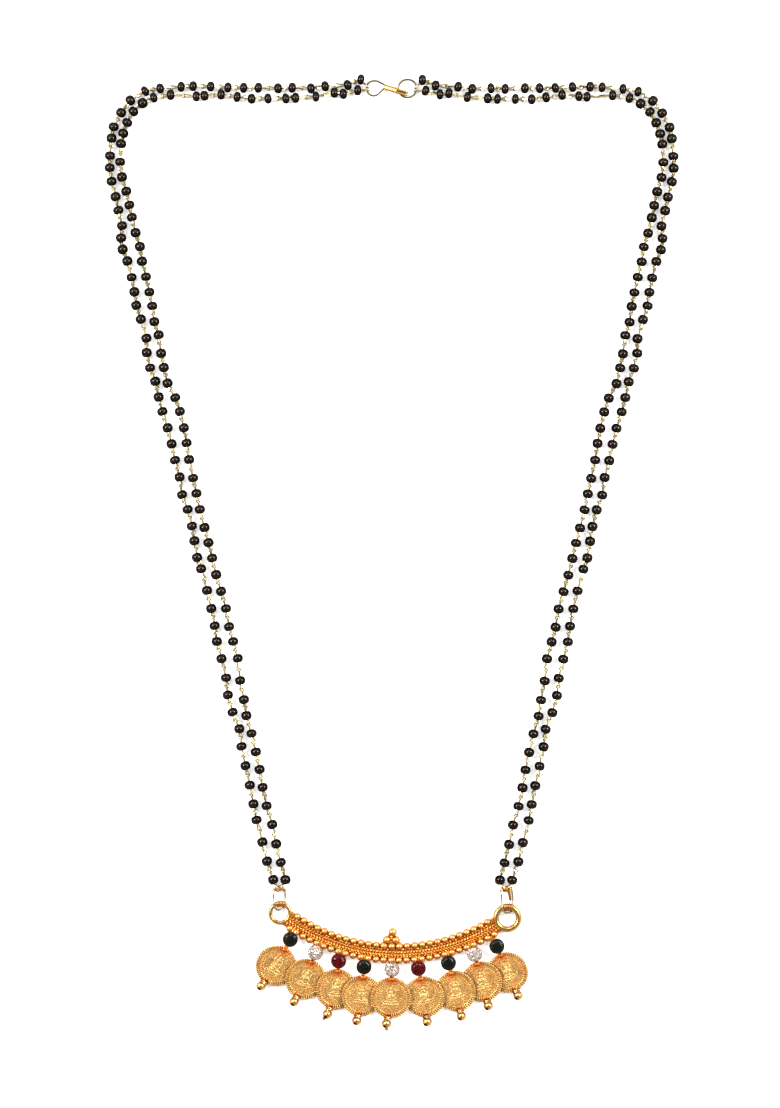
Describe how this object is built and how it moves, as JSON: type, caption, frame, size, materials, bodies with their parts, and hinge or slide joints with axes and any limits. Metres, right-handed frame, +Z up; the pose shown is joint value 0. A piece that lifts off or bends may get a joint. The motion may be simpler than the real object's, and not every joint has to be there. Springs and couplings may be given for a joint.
{
  "type": "temple necklace with a coin-fringed pendant bar",
  "caption": "Long double-line glass bead necklace with a hook clasp and a granulated bar that carries set stones and overlapping coins.",
  "frame": {"origin": "middle of the necklace's outline, on the surface that it lies on", "axes": "+X to the right and +Y from the coins to the clasp as seen from above, +Z up off the surface"},
  "size_m": [0.1865, 0.3104, 0.004],
  "materials": {
    "bar_gold": "warm orange-gold plating, polished on the granules and darker between them",
    "coin_gold": "matte sandy yellow-gold plating over stamped relief",
    "wire_gold": "pale bright gold-plated wire",
    "bead_black": "glossy black glass with a brown-red cast",
    "stone_green": "very dark green glass stone",
    "stone_clear": "foiled clear cut glass, silvery lilac",
    "stone_red": "dark garnet-red glass stone"
  },
  "bodies": {
    "root": {"pendant_bar": "bar_gold", "link_left": "wire_gold", "link_right": "wire_gold", "clasp_hook": "wire_gold", "clasp_ring": "wire_gold", "coin_1": "coin_gold", "coin_2": "coin_gold", "coin_3": "coin_gold", "coin_4": "coin_gold", "coin_5": "coin_gold", "coin_6": "coin_gold", "coin_7": "coin_gold", "coin_8": "coin_gold", "coin_9": "coin_gold", "stone_1": "stone_green", "stone_2": "stone_clear", "stone_3": "stone_red", "stone_4": "stone_green", "stone_5": "stone_clear", "stone_6": "stone_red", "stone_7": "stone_green", "stone_8": "stone_clear", "stone_9": "stone_green", "beads_left_outer_1": "bead_black", "beads_left_outer_2": "bead_black", "beads_left_outer_3": "bead_black", "beads_left_outer_4": "bead_black", "beads_left_outer_5": "bead_black", "beads_left_outer_6": "bead_black", "beads_left_outer_7": "bead_black", "beads_left_outer_8": "bead_black", "beads_left_inner_1": "bead_black", "beads_left_inner_2": "bead_black", "beads_left_inner_3": "bead_black", "beads_left_inner_4": "bead_black", "beads_left_inner_5": "bead_black", "beads_left_inner_6": "bead_black", "beads_left_inner_7": "bead_black", "beads_left_inner_8": "bead_black", "beads_right_outer_1": "bead_black", "beads_right_outer_2": "bead_black", "beads_right_outer_3": "bead_black", "beads_right_outer_4": "bead_black", "beads_right_outer_5": "bead_black", "beads_right_outer_6": "bead_black", "beads_right_outer_7": "bead_black", "beads_right_outer_8": "bead_black", "beads_right_inner_1": "bead_black", "beads_right_inner_2": "bead_black", "beads_right_inner_3": "bead_black", "beads_right_inner_4": "bead_black", "beads_right_inner_5": "bead_black", "beads_right_inner_6": "bead_black", "beads_right_inner_7": "bead_black", "beads_right_inner_8": "bead_black"}
  },
  "joints": []
}
